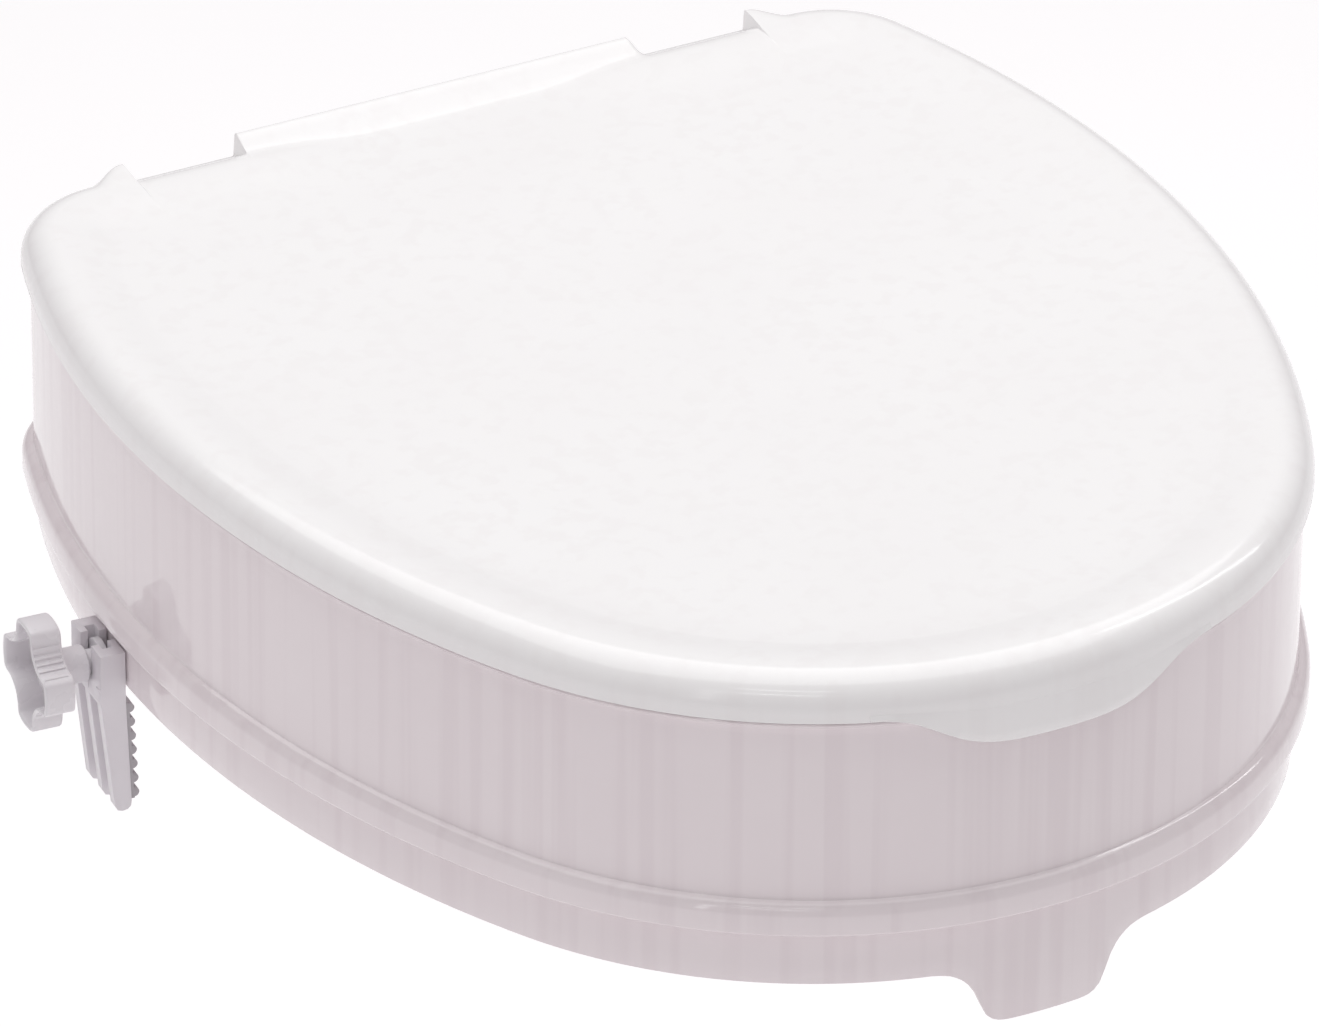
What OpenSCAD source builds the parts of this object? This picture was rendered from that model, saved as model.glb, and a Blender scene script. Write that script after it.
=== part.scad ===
// Raised toilet seat: a moulded riser body with a hinged lid and two screw clamps.
// Millimetres. Z is up, the front of the seat faces -Y, and X runs across the seat.
// The two ends of the clamp brackets are the lowest points and lie at Z = 0.

/* [Plan shape] */
// Rear face of the body wall
rear_y = 205.5; // [204:0.5:207]
// Half the straight length of the rear wall
rear_half = 132; // [128:1:136]
// Radius of the rear corners
corner_r = 34; // [33:1:38]
// Radius of the bulging sides
side_r = 388; // [370:1:410]
// Turn of the side arc from its middle to the rear corner, in degrees
corner_turn = 19; // [18:0.5:20]
// Turn of the side arc from its middle to the front, in degrees
front_turn = 27.3; // [26.5:0.1:28]

/* [Body] */
// Wall thickness of the moulding
wall = 2.6; // [2:0.1:3.2]
// Bottom edge of the skirt, level with the bowl rim
skirt_z = 46.5; // [44:0.5:49]
// Underside of the bead that runs round the body
bead_z = 67; // [65:0.5:69]
// How far the bead stands out
bead_out = 4; // [3:0.1:5]
// Top of the seat surface
seat_z = 143.2; // [142:0.1:143.4]
// Bottom of the front tongue
tongue_z = 25.5; // [22:0.5:30]
// Lower edge of the splash guard inside the opening
guard_z = 72; // [60:1:90]

/* [Opening] */
// Radius of the rear end of the opening
hole_rear_r = 84; // [80:1:88]
// Radius of the front end of the opening
hole_front_r = 92; // [88:1:96]
// Radius of the sides of the opening
hole_side_r = 210; // [180:1:240]
// Centre of the rear end arc
hole_rear_y = 40; // [35:1:45]
// Centre of the front end arc
hole_front_y = -48; // [-53:1:-43]

/* [Lid] */
// Lower edge of the lid
lid_z = 144; // [143.9:0.1:144.4]
// How far the lid overhangs the wall
lid_over = 3; // [2.4:0.1:3.4]
// Radius of the rounded lid edge
lid_round = 11.5; // [10:0.5:13]
// Thickness of the lid
lid_wall = 2.5; // [2:0.1:3]
// Fall of the lid surface from its edge to its middle
lid_dish = 3; // [2:0.5:4]
// Half width of the low rear part
notch_half = 117.5; // [112:0.5:120]
// Top of the low rear edge
notch_z = 152.4; // [151.5:0.1:153.5]
// Crest in front of the low rear edge
crest_z = 157.7; // [157:0.1:158]
// Half width of the rear ridge
ridge_half = 76; // [72:1:80]
// Top of the rear ridge
ridge_z = 160.6; // [159:0.1:162]
// Bottom of the finger lip
lip_z = 131.5; // [128:0.5:136]

/* [Hinge] */
// Height of the hinge axis
hinge_z = 151.5; // [151:0.1:152]
// Hinge axis, measured along Y
hinge_y = 207.5; // [207:0.1:208]
// Radius of the hinge barrels
barrel_r = 4.8; // [4.4:0.1:5]
// Radius of the hinge pins
pin_r = 2.5; // [2:0.1:3]
// Centre of each hinge block, measured along X
block_x = 51; // [48:1:54]
// Width of each hinge block
block_w = 12; // [10:0.5:14]

/* [Clamps] */
// Turn of each clamp behind the widest point, in degrees
clamp_turn = 4.5; // [3:0.5:6]
// Height of the knob axis
knob_z = 51.3; // [50:0.1:53]
// Half width of the bracket
bracket_half = 13; // [12.5:0.1:14]
// Largest radius of the four lobed knob
knob_r = 19.5; // [18:0.5:21]
// Radius of the knob neck
neck_r = 6.25; // [5.5:0.05:6.5]
// Radius of the clamp screw
screw_r = 3; // [2.5:0.1:3.2]
// Thickness of the rubber grip
grip_t = 2.5; // [2:0.1:3]
// Number of bumps on the rubber grip
grip_bumps = 7; // [5:1:9]

/* [Hidden] */

// Circles that make the outline: the corner, the side arc and the front.
corner_c = [rear_half, rear_y - corner_r];
side_c = corner_c - (side_r - corner_r) * [cos(corner_turn), sin(corner_turn)];
front_r = side_r + side_c.x / cos(front_turn);
front_c = [0, side_c.y - (side_r - front_r) * sin(front_turn)];
corner_end = corner_turn;
front_end = -front_turn;

// The same three arcs for the opening.
hole_rear_c = [0, hole_rear_y];
hole_front_c = [0, hole_front_y];
hole_side_c = joining_centre(hole_rear_c, hole_rear_r, hole_front_c, hole_front_r, hole_side_r);
hole_rear_end = atan2(hole_rear_c.y - hole_side_c.y, hole_rear_c.x - hole_side_c.x);
hole_front_end = atan2(hole_front_c.y - hole_side_c.y, hole_front_c.x - hole_side_c.x);

lid_top = lid_z + 2.8 + lid_round;
round_z = lid_z + 2.8;
round_x = lid_over - lid_round;
plate_top = lid_top - lid_dish;
plate_inset = 30;
lid_edge_y = rear_y + lid_over;
hinge_gap = 0.6;
pad_places = [[126, 118], [-126, 118], [96, -128], [-96, -128]];
buffer_places = [[128, 110], [-128, 110], [92, -138], [-92, -138]];
rib_turns = [for (i = [0:11]) 15 + 30 * i];
screw_places = [118, 132];

// Centre of the large circle of radius r that touches circles a and b from outside.
function joining_centre(a, ra, b, rb, r) =
    let (d = norm(b - a))
    let (t = ((r - ra) * (r - ra) - (r - rb) * (r - rb) + d * d) / (2 * d))
    let (h = sqrt((r - ra) * (r - ra) - t * t))
    let (u = (b - a) / d)
    a + t * u + h * [u.y, -u.x];

// Points along one arc.
function arc_points(c, r, a0, a1, n) =
    [for (i = [0:n]) c + r * [cos(a0 + (a1 - a0) * i / n), sin(a0 + (a1 - a0) * i / n)]];

// The same between the ends of the arc, so no corner falls where two arcs meet.
function inner_points(c, r, a0, a1, n) =
    let (s = (a1 - a0) / n)
    arc_points(c, r, a0 + s / 2, a1 - s / 2, n - 1);

// Right half of the outline moved out by off, from the rear to the front.
function outline_half(off) = concat(
    inner_points(corner_c, corner_r + off, 90, corner_end, 7),
    inner_points(side_c, side_r + off, corner_end, front_end, 14),
    inner_points(front_c, front_r + off, front_end, -90, 14)
);

function hole_half(off) = concat(
    inner_points(hole_rear_c, hole_rear_r + off, 90, hole_rear_end, 15),
    inner_points(hole_side_c, hole_side_r + off, hole_rear_end, hole_front_end, 12),
    inner_points(hole_front_c, hole_front_r + off, hole_front_end, -90, 15)
);

// A half outline and its mirror image.
function both_halves(half) = concat(
    half,
    [for (i = [len(half) - 1:-1:0]) [-half[i].x, half[i].y]]
);

module mirrored_x() {
    children();
    mirror([1, 0, 0])
        children();
}

// Moves in a coarse and a fine step, so that sweeps that meet share one place exactly.
module fine_move(c) {
    coarse = [for (v = c) round(v * 10) / 10];
    translate(coarse)
        translate(c - coarse)
            children();
}

// Sweeps a section of radius and height about c, from the +X direction through turn.
module arc_sweep(r, turn) {
    rotate_extrude(angle = turn, $fn = 240)
        fine_move([r, 0])
            children();
}

// The round front, up to turn degrees each side of the middle.
module round_front(turn) {
    mirrored_x()
        fine_move([front_c.x, front_c.y, 0])
            rotate([0, 0, -90])
                arc_sweep(front_r, turn)
                    children();
}

// Runs a section straight along X at the rear, from x0 to x1.
module rear_run(x0, x1) {
    translate([x0, rear_y, 0])
        rotate([90, 0, 90])
            linear_extrude(x1 - x0)
                children();
}

// Sweeps a section round the corners, the sides and the front.
module round_sides() {
    mirrored_x() {
        fine_move([corner_c.x, corner_c.y, 0])
            rotate([0, 0, 90])
                mirror([0, 1, 0])
                    arc_sweep(corner_r, 90 - corner_turn)
                        children();
        fine_move([side_c.x, side_c.y, 0]) {
            arc_sweep(side_r, corner_turn)
                children();
            mirror([0, 1, 0])
                arc_sweep(side_r, front_turn)
                    children();
        }
    }
    round_front(90 - front_turn)
        children();
}

// Extrudes a shape drawn in Y and Z along X, from x0 to x1.
module along_x(x0, x1) {
    translate([x0, 0, 0])
        rotate([90, 0, 90])
            linear_extrude(x1 - x0)
                children();
}

// Extrudes a shape drawn in X and Z through the front of the seat.
module through_front() {
    translate([0, -130, 0])
        rotate([90, 0, 0])
            linear_extrude(100)
                children();
}

// Places a clamp part: x points out from the wall, y to the front, z up.
module at_clamp() {
    translate([-side_c.x, side_c.y, 0])
        rotate([0, 0, 180 - clamp_turn])
            translate([side_r, 0, 0])
                children();
}

module at_right_clamp() {
    mirror([1, 0, 0])
        at_clamp()
            children();
}

// A round bar along the clamp axis.
module clamp_bar(r, x0, x1, y, z) {
    translate([x0, y, z])
        rotate([0, 90, 0])
            cylinder(r = r, h = x1 - x0, $fn = 48);
}

// ---- Riser body ----

module body_section() {
    polygon(concat(
        [
            [-1 - wall, skirt_z], [-1.6, skirt_z], [-1, skirt_z + 0.6], [-1, bead_z],
            [bead_out - 1, bead_z]
        ],
        arc_points([bead_out - 1, bead_z + 1], 1, -60, 0, 3),
        arc_points([bead_out - 6, bead_z + 6], 6, 0, 66, 8),
        [[0, bead_z + 12.4], [0, seat_z - 1.8], [0.8, seat_z - 1.6]],
        arc_points([0.8, seat_z - 0.8], 0.8, -60, 90, 5),
        [[-wall, seat_z], [-wall, bead_z], [-1 - wall, bead_z - 1]]
    ));
}

module seat_ring() {
    translate([0, 0, seat_z - wall])
        linear_extrude(wall)
            difference() {
                polygon(both_halves(outline_half(-wall / 2)));
                polygon(both_halves(hole_half(0)));
            }
}

// Upright wall inside the opening.
module splash_guard() {
    translate([0, 0, guard_z])
        linear_extrude(seat_z - 1 - guard_z)
            difference() {
                polygon(both_halves(hole_half(wall)));
                polygon(both_halves(hole_half(0)));
            }
}

// Webs between the wall and the splash guard.
module body_ribs() {
    intersection() {
        union() {
            for (a = rib_turns) {
                rotate([0, 0, a])
                    translate([60, -1, 126])
                        cube([190, 2, seat_z - wall + 0.5 - 126]);
            }
        }
        translate([0, 0, 120])
            linear_extrude(30)
                difference() {
                    polygon(both_halves(outline_half(-wall / 2)));
                    polygon(both_halves(hole_half(wall / 2)));
                }
    }
}

module tongue() {
    intersection() {
        round_front(20)
            translate([-1 - wall, tongue_z - 2])
                square([wall, skirt_z - tongue_z + 5]);
        through_front() {
            polygon([
                [-38, skirt_z + 1], [-38, skirt_z], [-31, skirt_z - 2], [-27, skirt_z - 7],
                [-23, tongue_z + 5], [-19, tongue_z + 1], [-15, tongue_z],
                [15, tongue_z], [19, tongue_z + 1], [23, tongue_z + 5],
                [27, skirt_z - 7], [31, skirt_z - 2], [38, skirt_z], [38, skirt_z + 1]
            ]);
        }
    }
}

// Block inside the skirt that holds the nut and guides the bracket.
module clamp_boss() {
    translate([-21, -15, skirt_z + 1.5])
        cube([18.6, 30, 26.5]);
}

module clamp_boss_cuts() {
    clamp_bar(screw_r + 0.5, -30, 5, 0, knob_z);
    for (s = [-1, 1]) {
        clamp_bar(2.9, -30, 5, s * 9, knob_z + 2.5);
    }
    translate([-14, 0, knob_z])
        rotate([0, 90, 0])
            cylinder(r = 5.9, h = 5.2, $fn = 6);
}

module seat_body() {
    color([0.95, 0.95, 0.94]) {
        difference() {
            union() {
                round_sides()
                    body_section();
                rear_run(-rear_half, rear_half)
                    body_section();
                seat_ring();
                splash_guard();
                body_ribs();
                tongue();
                for (p = pad_places) {
                    translate([p.x, p.y, 50.5])
                        cylinder(r = 11, h = seat_z - wall + 0.5 - 50.5, $fn = 60);
                }
                at_clamp()
                    clamp_boss();
                at_right_clamp()
                    clamp_boss();
            }
            for (p = pad_places) {
                translate([p.x, p.y, 40])
                    cylinder(r = 8.4, h = 96, $fn = 60);
            }
            at_clamp()
                clamp_boss_cuts();
            at_right_clamp()
                clamp_boss_cuts();
            // Holes for the hinge block screws.
            for (s = [-1, 1], z = screw_places) {
                translate([s * block_x, rear_y - 8, z])
                    rotate([-90, 0, 0])
                        cylinder(r = 2, h = 12, $fn = 32);
            }
        }
    }
}

module rim_pads() {
    color([0.62, 0.62, 0.63]) {
        for (p = pad_places) {
            translate([p.x, p.y, 46])
                cylinder(r = 12, h = 4.5, $fn = 60);
            translate([p.x, p.y, 50.4])
                cylinder(r = 8.4, h = 6, $fn = 60);
        }
    }
}

// ---- Hinge ----

// Block on the rear wall with an eye for the pin.
module hinge_block(x) {
    difference() {
        union() {
            along_x(x - block_w / 2, x + block_w / 2) {
                polygon([
                    [rear_y, 111], [rear_y + 3, 111], [rear_y + 5.5, 116], [hinge_y + barrel_r, 140],
                    [hinge_y + barrel_r, hinge_z], [rear_y + 1.8, hinge_z],
                    [rear_y + 1.8, seat_z - 2.2], [rear_y, seat_z - 2.2]
                ]);
                translate([hinge_y, hinge_z])
                    circle(r = barrel_r, $fn = 60);
            }
        }
        along_x(x - block_w, x + block_w)
            translate([hinge_y, hinge_z])
                circle(r = pin_r + 0.06, $fn = 48);
        for (z = screw_places) {
            translate([x, rear_y - 1, z])
                rotate([-90, 0, 0])
                    cylinder(r = 1.6, h = 4.5, $fn = 32);
        }
    }
}

module hinge_block_left() {
    color([0.93, 0.93, 0.92])
        hinge_block(-block_x);
}

module hinge_block_right() {
    color([0.93, 0.93, 0.92])
        hinge_block(block_x);
}

// Pan head screws driven from inside the body into the hinge blocks.
module hinge_screws() {
    color([0.7, 0.7, 0.72]) {
        for (s = [-1, 1], z = screw_places) {
            translate([s * block_x, rear_y - wall - 2, z])
                rotate([-90, 0, 0])
                    cylinder(r = 3.6, h = 2, $fn = 40);
            translate([s * block_x, rear_y - wall - 1, z])
                rotate([-90, 0, 0])
                    cylinder(r = 1.6, h = wall + 4, $fn = 32);
        }
    }
}

module hinge_pin(x) {
    along_x(x - 20, x + 20)
        translate([hinge_y, hinge_z])
            circle(r = pin_r, $fn = 48);
}

module hinge_pin_left() {
    color([0.75, 0.75, 0.77])
        hinge_pin(-block_x);
}

module hinge_pin_right() {
    color([0.75, 0.75, 0.77])
        hinge_pin(block_x);
}

// ---- Lid ----

module lid_section() {
    polygon(concat(
        [[lid_over - lid_wall, lid_z], [lid_over - 0.5, lid_z], [lid_over, lid_z + 0.5]],
        arc_points([round_x, round_z], lid_round, 0, 90, 14),
        [
            [2 - plate_inset, plate_top], [-plate_inset, plate_top - 0.5],
            [-plate_inset, plate_top - lid_wall + 0.5]
        ],
        arc_points([round_x, round_z], lid_round - lid_wall, 90, 0, 8)
    ));
}

// Solid web that closes the end of the rounded edge beside the low rear part.
module lid_end_section() {
    polygon(concat(
        [
            [rear_y - plate_inset - 1.9, plate_top - lid_wall + 0.3],
            [lid_edge_y - lid_round, lid_z + 0.2], [lid_edge_y - 0.5, lid_z + 0.2]
        ],
        arc_points([lid_edge_y - lid_round, round_z], lid_round - 0.2, 0, 90, 14),
        [[rear_y - plate_inset - 1.9, plate_top - 0.3]]
    ));
}

// Low rear part that falls to the thin rear edge.
module lid_rear_section() {
    polygon([
        [rear_y - 32, plate_top - lid_wall],
        [rear_y - 32, plate_top], [rear_y - 22, crest_z - 0.9], [rear_y - 12, crest_z + 0.2],
        [rear_y - 7, crest_z - 0.1], [lid_edge_y - 1.6, notch_z], [lid_edge_y - 0.5, notch_z - 0.8],
        [lid_edge_y, notch_z - 2.2], [lid_edge_y, lid_z], [lid_edge_y - lid_wall, lid_z],
        [lid_edge_y - lid_wall, notch_z - 3.2], [rear_y - 8, crest_z - 3],
        [rear_y - 22, crest_z - 0.9 - lid_wall]
    ]);
}

// Ridge with an upright rear face and a hollowed front slope.
module lid_ridge_section() {
    polygon(concat(
        [
            [lid_edge_y - 1.8, ridge_z], [lid_edge_y - 0.6, ridge_z - 0.2], [lid_edge_y, ridge_z - 0.8],
            [lid_edge_y, notch_z - 3], [rear_y - 8, crest_z - 1.7], [rear_y - 13, crest_z - 1.1]
        ],
        arc_points([rear_y - 10.5, crest_z + 16.15], 16.5, 262, 305, 12)
    ));
}

// Tab under the front edge that a finger lifts.
module finger_lip() {
    intersection() {
        round_front(28)
            translate([1.9, lip_z - 1])
                square([2.1, round_z - lip_z + 2]);
        through_front() {
            polygon([
                [-58, round_z + 1], [-58, lid_z + 0.5], [-50, lid_z - 1.5], [-42, lid_z - 6],
                [-34, lip_z + 2.6], [-24, lip_z + 0.5], [-14, lip_z],
                [14, lip_z], [24, lip_z + 0.5], [34, lip_z + 2.6],
                [42, lid_z - 6], [50, lid_z - 1.5], [58, lid_z + 0.5], [58, round_z + 1]
            ]);
        }
    }
}

module lid() {
    color([0.97, 0.97, 0.97]) {
        difference() {
            union() {
                round_sides()
                    lid_section();
                rear_run(-rear_half, rear_half)
                    lid_section();
                translate([0, 0, plate_top - lid_wall])
                    linear_extrude(lid_wall)
                        polygon(both_halves(outline_half(1 - plate_inset)));
            }
            translate([-notch_half, rear_y - 32, lid_z - 10])
                cube([2 * notch_half, 60, 60]);
        }
        finger_lip();
    }
}

// Rear rail of the lid with the ridge, the end webs and the hinge barrels.
module hinge_rail() {
    color([0.97, 0.97, 0.97]) {
        difference() {
            union() {
                along_x(-notch_half, notch_half)
                    lid_rear_section();
                mirrored_x()
                    along_x(notch_half - 2.4, notch_half)
                        lid_end_section();
                along_x(-ridge_half, ridge_half)
                    lid_ridge_section();
                for (s = [-1, 1]) {
                    along_x(s * block_x - 21, s * block_x + 21)
                        translate([hinge_y, hinge_z])
                            circle(r = barrel_r, $fn = 60);
                }
            }
            for (s = [-1, 1]) {
                // Room for the hinge block.
                along_x(s * block_x - block_w / 2 - hinge_gap, s * block_x + block_w / 2 + hinge_gap) {
                    translate([hinge_y, hinge_z])
                        circle(r = barrel_r + 0.9, $fn = 60);
                    translate([rear_y - 0.4, lid_z - 5])
                        square([12, hinge_z - lid_z + 5]);
                    translate([hinge_y, hinge_z - 5])
                        square([8, 10.7]);
                }
                along_x(s * block_x - 20, s * block_x + 20)
                    translate([hinge_y, hinge_z])
                        circle(r = pin_r, $fn = 48);
            }
        }
    }
}

// Stiffening ribs under the lid.
module lid_ribs() {
    color([0.96, 0.96, 0.96]) {
        for (x = [-60, 0, 60]) {
            translate([x - 1, -150, plate_top - lid_wall - 5])
                cube([2, 315, 5]);
        }
        for (y = [-110, -20, 70]) {
            translate([-120, y - 1, plate_top - lid_wall - 5])
                cube([240, 2, 5]);
        }
    }
}

module lid_buffers() {
    color([0.6, 0.6, 0.61]) {
        for (p = buffer_places) {
            translate([p.x, p.y, seat_z + 0.2])
                cylinder(r = 6, h = plate_top - lid_wall - seat_z - 0.2, $fn = 48);
        }
    }
}

// ---- Clamps ----

// Side view of a bracket fin, drawn in x and z.
module fin_section() {
    polygon([
        [0, 47], [8.4, 47], [8.3, 44], [3.9, 2.2], [2.9, 0.5], [1.2, 0], [-0.6, 0.3], [-1.7, 1.4],
        [-2, 3], [-0.3, 44]
    ]);
}

module plate_section() {
    polygon([
        [-0.3, 47], [2.6, 47], [0.9, 3.4], [0, 2.4], [-1.2, 2], [-2, 3]
    ]);
}

// Extrudes a side view across the bracket, from y0 to y1.
module across(y0, y1) {
    translate([0, y1, 0])
        rotate([90, 0, 0])
            linear_extrude(y1 - y0)
                children();
}

module bracket() {
    difference() {
        union() {
            across(-bracket_half, bracket_half)
                plate_section();
            for (y = [-bracket_half, -2, bracket_half - 4]) {
                across(y, y + 4)
                    fin_section();
            }
            translate([-0.6, -bracket_half, 41])
                cube([8.7, 2 * bracket_half, 19]);
            for (s = [-1, 1]) {
                clamp_bar(2.5, -20, 1, s * 9, knob_z + 2.5);
            }
        }
        // Slot for the neck, open at the top.
        translate([5, -4.7, knob_z])
            cube([6, 9.4, 20]);
        clamp_bar(4.7, 5, 11, 0, knob_z);
        // Channel for the collar.
        translate([2, -8, knob_z])
            cube([3.5, 16, 20]);
        clamp_bar(8, 2, 5.5, 0, knob_z);
        // Slot for the screw.
        translate([-2, -3.5, knob_z])
            cube([5, 7, 20]);
        clamp_bar(3.5, -2, 3, 0, knob_z);
    }
}

module bracket_left() {
    color([0.86, 0.84, 0.87])
        at_clamp()
            bracket();
}

module bracket_right() {
    color([0.86, 0.84, 0.87])
        at_right_clamp()
            bracket();
}

// Ribbed rubber pad that presses on the outside of the bowl.
module grip() {
    across(-bracket_half + 1, bracket_half - 1)
        polygon([
            [-0.5, 40], [-0.5 - grip_t * 0.6, 40], [-2 - grip_t * 0.6, 3.4], [-2, 3.4]
        ]);
    for (i = [0:grip_bumps - 1]) {
        across(-bracket_half + 1, bracket_half - 1)
            translate([-0.55 - grip_t * 0.6 - 1.45 * (i + 0.5) / grip_bumps, 38 - i * 5.4])
                circle(r = 1.7, $fn = 28);
    }
}

module grip_left() {
    color([0.5, 0.5, 0.52])
        at_clamp()
            difference() {
                grip();
                across(-20, 20)
                    polygon([[-0.44, 41], [10, 41], [10, 0], [-2.06, 0], [-2, 3.2]]);
            }
}

module grip_right() {
    color([0.5, 0.5, 0.52])
        at_right_clamp()
            difference() {
                grip();
                across(-20, 20)
                    polygon([[-0.44, 41], [10, 41], [10, 0], [-2.06, 0], [-2, 3.2]]);
            }
}

// Four lobes left between four round bites. A wall t makes the inner outline.
module lobes(t) {
    difference() {
        circle(r = knob_r - t, $fn = 120);
        for (a = [45:90:315]) {
            rotate([0, 0, a])
                translate([knob_r + 4.5, 0])
                    circle(r = 10.5 + t, $fn = 90);
        }
    }
}

module knob() {
    difference() {
        union() {
            translate([19, 0, knob_z])
                rotate([0, 90, 0])
                    linear_extrude(10.8)
                        lobes(0);
            clamp_bar(neck_r, 8.8, 19.5, 0, knob_z);
            clamp_bar(4.2, 2.2, 9, 0, knob_z);
        }
        translate([21, 0, knob_z])
            rotate([0, 90, 0])
                linear_extrude(10)
                    difference() {
                        lobes(1.8);
                        circle(r = 6, $fn = 60);
                    }
        translate([24, 0, knob_z])
            rotate([0, 90, 0])
                cylinder(r = 6.5, h = 10, $fn = 60);
        clamp_bar(screw_r, 2, 18, 0, knob_z);
    }
}

module knob_left() {
    color([0.87, 0.85, 0.87])
        at_clamp()
            knob();
}

module knob_right() {
    color([0.87, 0.85, 0.87])
        at_right_clamp()
            knob();
}

// Ring on the knob shaft that keeps it in the bracket.
module collar() {
    difference() {
        clamp_bar(7.5, 2.4, 5.1, 0, knob_z);
        clamp_bar(4.2, 2, 6, 0, knob_z);
    }
}

module collar_left() {
    color([0.8, 0.8, 0.82])
        at_clamp()
            collar();
}

module collar_right() {
    color([0.8, 0.8, 0.82])
        at_right_clamp()
            collar();
}

module screw_left() {
    color([0.72, 0.72, 0.74])
        at_clamp()
            clamp_bar(screw_r, -24, 18, 0, knob_z);
}

module screw_right() {
    color([0.72, 0.72, 0.74])
        at_right_clamp()
            clamp_bar(screw_r, -24, 18, 0, knob_z);
}

// Six sided nut held in the body.
module nut() {
    difference() {
        translate([-13.9, 0, knob_z])
            rotate([0, 90, 0])
                cylinder(r = 5.8, h = 5, $fn = 6);
        clamp_bar(screw_r + 0.06, -20, 0, 0, knob_z);
    }
}

module nut_left() {
    color([0.7, 0.7, 0.72])
        at_clamp()
            nut();
}

module nut_right() {
    color([0.7, 0.7, 0.72])
        at_right_clamp()
            nut();
}

seat_body();
rim_pads();
hinge_block_left();
hinge_block_right();
hinge_screws();
lid();
hinge_rail();
lid_ribs();
hinge_pin_left();
hinge_pin_right();
lid_buffers();
bracket_left();
grip_left();
knob_left();
collar_left();
screw_left();
nut_left();
bracket_right();
grip_right();
knob_right();
collar_right();
screw_right();
nut_right();
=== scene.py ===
# Raised toilet seat with a hinged lid and two screw clamps.
# Metres, Z up, front towards -Y. Sections follow the order in which the real one is put together.
import bpy
import bmesh
from math import atan2, cos, hypot, pi, radians, sin, sqrt
from mathutils import Matrix, Vector


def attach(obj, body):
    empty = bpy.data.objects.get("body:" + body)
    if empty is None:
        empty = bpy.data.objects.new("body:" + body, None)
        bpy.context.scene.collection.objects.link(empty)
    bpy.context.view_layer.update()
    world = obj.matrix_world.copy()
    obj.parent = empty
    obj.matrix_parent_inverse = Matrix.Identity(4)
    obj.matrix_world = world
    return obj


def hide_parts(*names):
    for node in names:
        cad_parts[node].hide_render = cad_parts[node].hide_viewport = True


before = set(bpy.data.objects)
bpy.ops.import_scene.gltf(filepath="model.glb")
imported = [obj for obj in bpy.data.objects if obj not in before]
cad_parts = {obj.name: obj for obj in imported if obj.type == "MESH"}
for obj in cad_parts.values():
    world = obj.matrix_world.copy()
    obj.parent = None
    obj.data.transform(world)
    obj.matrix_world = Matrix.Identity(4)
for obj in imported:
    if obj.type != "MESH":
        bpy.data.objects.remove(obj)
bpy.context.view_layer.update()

# ---- Riser body -------------------------------------------------------------------
# One injection moulding in white polypropylene: a wall with a stepped skirt and a bead,
# a flat seat on top, a splash guard round the opening and a tongue at the front.
# It comes out of a polished mould, so it is glossy, with faint draw marks up the wall; the darker streaks
# along them in its colour are painted reflection streaks.

MM = 0.001
REAR_Y, REAR_HALF, CORNER_R, SIDE_R = 205.5, 132.0, 34.0, 388.0
CORNER_TURN, FRONT_TURN = 19.0, 27.3
corner_c = (REAR_HALF, REAR_Y - CORNER_R)
side_c = (
    corner_c[0] - (SIDE_R - CORNER_R) * cos(radians(CORNER_TURN)),
    corner_c[1] - (SIDE_R - CORNER_R) * sin(radians(CORNER_TURN)),
)
front_r = SIDE_R + side_c[0] / cos(radians(FRONT_TURN))
front_c = (0.0, side_c[1] - (SIDE_R - front_r) * sin(radians(FRONT_TURN)))


def arc_stations(c, r, a0, a1, n):
    """Places and outward directions along one arc, without its last end."""
    out = []
    for i in range(n):
        a = radians(a0 + (a1 - a0) * i / n)
        out.append((c[0] + r * cos(a), c[1] + r * sin(a), cos(a), sin(a)))
    return out


def outline(rear_xs, n_corner=16, n_side=44, n_front=84):
    """Stations clockwise round the wall, from the rear middle and back to it."""
    right = [(x, REAR_Y, 0.0, 1.0) for x in rear_xs]
    right += arc_stations(corner_c, CORNER_R, 90, CORNER_TURN, n_corner)
    right += arc_stations(side_c, SIDE_R, CORNER_TURN, -FRONT_TURN, n_side)
    right += arc_stations(front_c, front_r, -FRONT_TURN, -90, n_front)
    nose = [(0.0, front_c[1] - front_r, 0.0, -1.0)]
    left = [(-x, y, -nx, ny) for x, y, nx, ny in right[1:]][::-1]
    return right + nose + left


def joining_centre(a, ra, b, rb, r):
    """Centre of the large circle that touches two others from outside."""
    dx, dy = b[0] - a[0], b[1] - a[1]
    d = hypot(dx, dy)
    t = ((r - ra) ** 2 - (r - rb) ** 2 + d * d) / (2 * d)
    h = sqrt((r - ra) ** 2 - t * t)
    return a[0] + t * dx / d + h * dy / d, a[1] + t * dy / d - h * dx / d


def opening_points():
    """The egg shape of the opening, for finding its edge in any direction."""
    rear, front = (0.0, 40.0), (0.0, -48.0)
    side = joining_centre(rear, 84.0, front, 92.0, 210.0)
    a_rear = atan2(rear[1] - side[1], rear[0] - side[0])
    a_front = atan2(front[1] - side[1], front[0] - side[0])
    pts = []
    for c, r, a0, a1 in (
        (rear, 84.0, pi / 2, a_rear), (side, 210.0, a_rear, a_front), (front, 92.0, a_front, -pi / 2),
    ):
        for i in range(200):
            a = a0 + (a1 - a0) * i / 199
            pts.append((c[0] + r * cos(a), c[1] + r * sin(a)))
    return pts


MIDDLE = (0.0, -4.0)
opening_polar = sorted((atan2(y - MIDDLE[1], x), hypot(x, y - MIDDLE[1])) for x, y in opening_points())


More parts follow.
